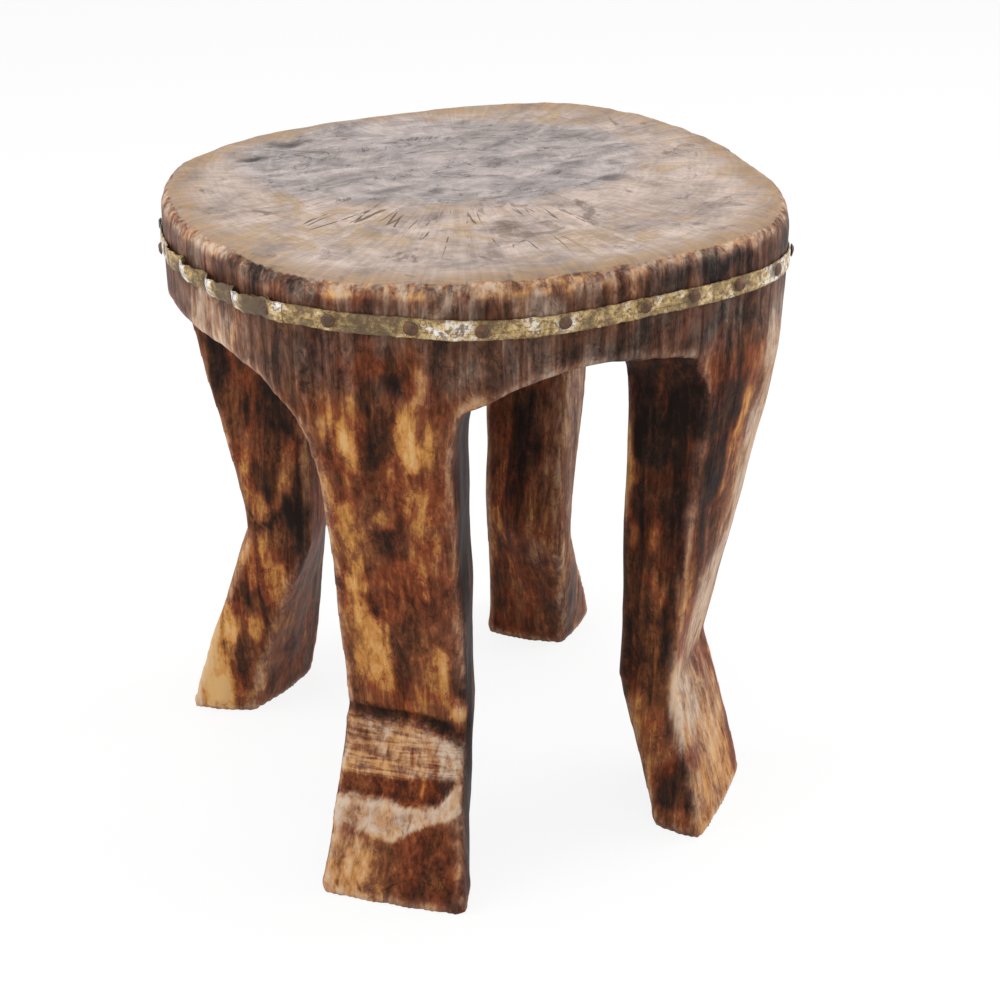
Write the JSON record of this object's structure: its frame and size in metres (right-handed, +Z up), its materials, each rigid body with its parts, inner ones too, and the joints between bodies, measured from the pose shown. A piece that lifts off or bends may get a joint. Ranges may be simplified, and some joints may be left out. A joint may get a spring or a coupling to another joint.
{
  "type": "carved wooden stool",
  "caption": "Stool carved from one log, with a dished seat, bent splayed legs and a thin metal strip tacked round the rim, for sitting on or as a small side table.",
  "frame": {"origin": "on the floor, under the middle of the seat", "axes": "+Z up; the legs stand on the diagonals of X and Y, and -Y looks towards the front"},
  "size_m": [0.3716, 0.3493, 0.4],
  "materials": {
    "carved_wood": "scorched and waxed hardwood, dark brown with amber streaks, paler end grain on the seat",
    "strip_metal": "dull zinc-coated sheet with yellow-brown rust",
    "tack_iron": "dark rusty iron"
  },
  "bodies": {
    "root": {"carved_body": "carved_wood", "rim_strip": "strip_metal", "tack_01": "tack_iron", "tack_02": "tack_iron", "tack_03": "tack_iron", "tack_04": "tack_iron", "tack_05": "tack_iron", "tack_06": "tack_iron", "tack_07": "tack_iron", "tack_08": "tack_iron", "tack_09": "tack_iron", "tack_10": "tack_iron", "tack_11": "tack_iron", "tack_12": "tack_iron", "tack_13": "tack_iron", "tack_14": "tack_iron", "tack_15": "tack_iron", "tack_16": "tack_iron", "tack_17": "tack_iron", "tack_18": "tack_iron", "tack_19": "tack_iron", "tack_20": "tack_iron", "tack_21": "tack_iron", "tack_22": "tack_iron", "tack_23": "tack_iron", "tack_24": "tack_iron", "tack_25": "tack_iron", "tack_26": "tack_iron", "tack_27": "tack_iron"}
  },
  "joints": []
}
